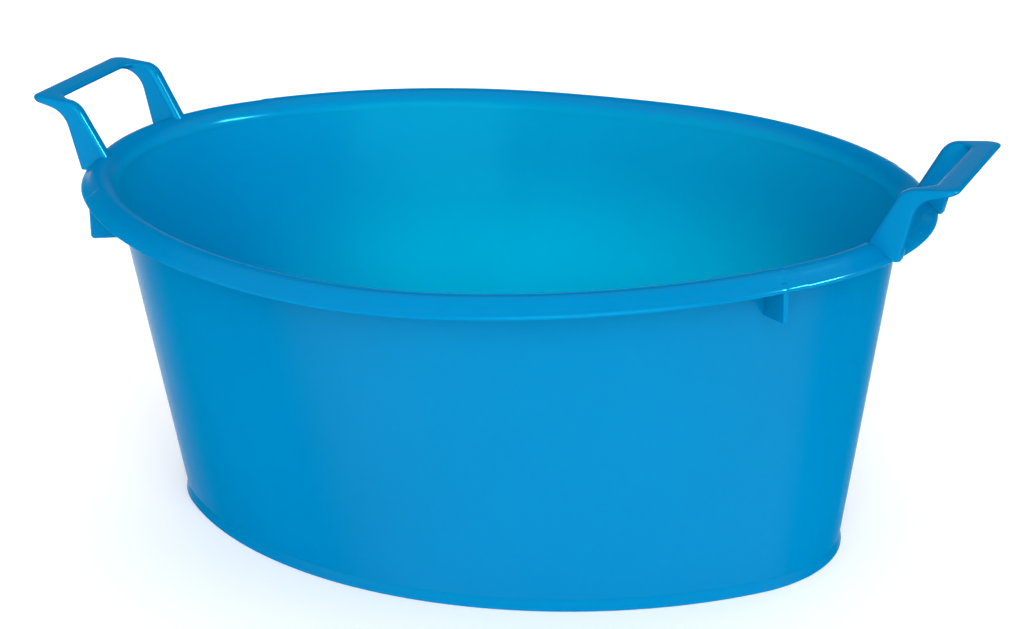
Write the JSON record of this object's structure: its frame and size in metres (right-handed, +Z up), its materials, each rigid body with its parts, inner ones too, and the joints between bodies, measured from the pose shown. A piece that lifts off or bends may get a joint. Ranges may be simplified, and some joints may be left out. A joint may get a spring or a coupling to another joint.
{
  "type": "feed bucket",
  "caption": "Oval moulded plastic feed tub with flaring walls, a turned-down rim and a raised carrying handle at each end.",
  "frame": {"origin": "on the ground, under the middle of the oval base", "axes": "+X along the tub's length towards the right handle, +Y towards the rear side, +Z up"},
  "size_m": [0.6984, 0.5056, 0.3014],
  "materials": {
    "tub_plastic": "gloss"
  },
  "bodies": {
    "root": {"floor_panel": "tub_plastic", "foot_ring": "tub_plastic", "tub_wall": "tub_plastic", "rim_crest": "tub_plastic", "rim_skirt": "tub_plastic", "left_grip": "tub_plastic", "right_grip": "tub_plastic", "front_left_rib": "tub_plastic", "front_right_rib": "tub_plastic", "rear_left_rib": "tub_plastic", "rear_right_rib": "tub_plastic", "left_front_leg": "tub_plastic", "left_rear_leg": "tub_plastic", "right_front_leg": "tub_plastic", "right_rear_leg": "tub_plastic"}
  },
  "joints": []
}
